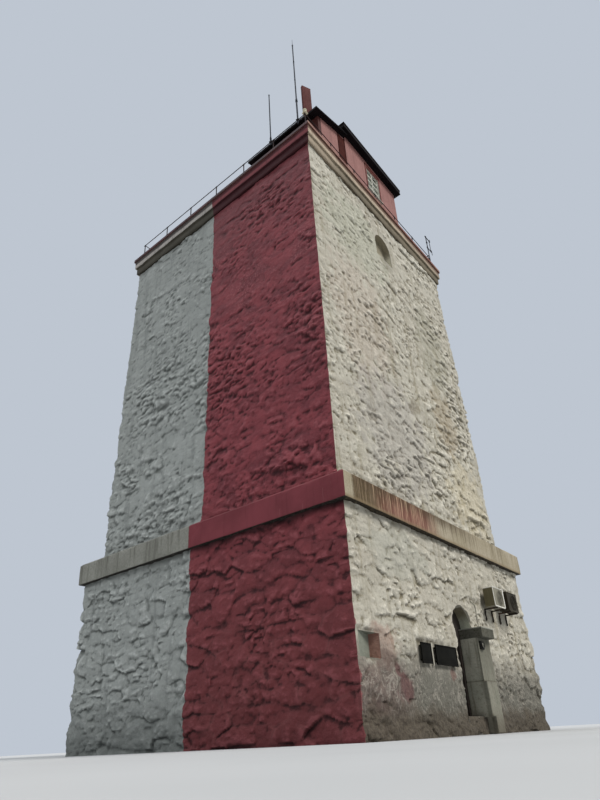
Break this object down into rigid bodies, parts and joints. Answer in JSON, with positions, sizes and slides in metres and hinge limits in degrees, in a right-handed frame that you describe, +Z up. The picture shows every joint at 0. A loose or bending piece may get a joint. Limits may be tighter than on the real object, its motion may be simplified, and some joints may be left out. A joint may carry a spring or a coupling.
{
  "type": "lighthouse",
  "caption": "Square lighthouse tower of painted rubble masonry on a broader base, with a railed deck, a two-part lantern house, aerials and an arched entrance.",
  "frame": {"origin": "centre of the square base at the lowest ground level, under the middle of the tower", "axes": "+Z up; -Y is the front face that is part white and part red; +X is the side with the arched entrance"},
  "size_m": [11.42, 11.14, 28.73],
  "materials": {
    "painted_rubble": "painted rubble masonry",
    "floor_stone": "rough",
    "belt_stone": "smooth rendered stone",
    "cornice_stone": "smooth stone",
    "concrete": "cast concrete",
    "deck_sheet": "weathered paint",
    "rail_steel": "dark paint",
    "house_render": "painted render",
    "roof_sheet": "dark paint",
    "window_wood": "painted",
    "window_pane": "clear",
    "aerial_metal": "dull",
    "panel_shell": "painted",
    "pale_metal": "satin",
    "lamp_case": "satin",
    "door_wood": "dark paint",
    "door_iron": "dull",
    "pier_render": "smooth render",
    "board_metal": "dark paint",
    "unit_metal": "satin"
  },
  "bodies": {
    "tower": {"belt_back": "belt_stone", "belt_front": "belt_stone", "belt_left": "belt_stone", "belt_right": "belt_stone", "cooling_brackets": "rail_steel", "cooling_units": "unit_metal", "corner_lamp": "pale_metal", "cornice_back": "cornice_stone", "cornice_front": "cornice_stone", "cornice_left": "cornice_stone", "cornice_right": "cornice_stone", "deck_covering": "deck_sheet", "deck_slab": "concrete", "door_frame": "door_wood", "entrance_arch": "painted_rubble", "entrance_canopy": "concrete", "entrance_lamp": "lamp_case", "entrance_pier": "pier_render", "ground_floor": "floor_stone", "high_house_back_wall": "house_render", "high_house_front_wall": "house_render", "high_house_left_wall": "house_render", "high_house_right_wall": "house_render", "high_house_roof": "roof_sheet", "loop_aerial": "aerial_metal", "low_house_front_wall": "house_render", "low_house_left_wall": "house_render", "low_house_right_wall": "house_render", "low_house_roof": "roof_sheet", "lower_back_wall": "painted_rubble", "lower_front_wall": "painted_rubble", "lower_left_wall": "painted_rubble", "lower_right_wall_far": "painted_rubble", "lower_right_wall_near": "painted_rubble", "notice_boards": "board_metal", "panel_aerial": "panel_shell", "panel_pole": "aerial_metal", "railing_back": "rail_steel", "railing_front": "rail_steel", "railing_left": "rail_steel", "railing_right": "rail_steel", "shaft_back_wall": "painted_rubble", "shaft_front_wall": "painted_rubble", "shaft_left_wall": "painted_rubble", "shaft_right_wall": "painted_rubble", "whip_aerials": "aerial_metal", "window_frames": "window_wood", "window_glass": "window_pane"},
    "door": {"door_leaf": "door_wood", "door_fittings": "door_iron"}
  },
  "joints": [
    {"name": "door_hinge", "type": "hinge", "parent": "tower", "child": "door", "pos_m": [4.92, -0.412, 1.45], "axis": [0, 0, 1], "range_deg": [0, 90]}
  ]
}
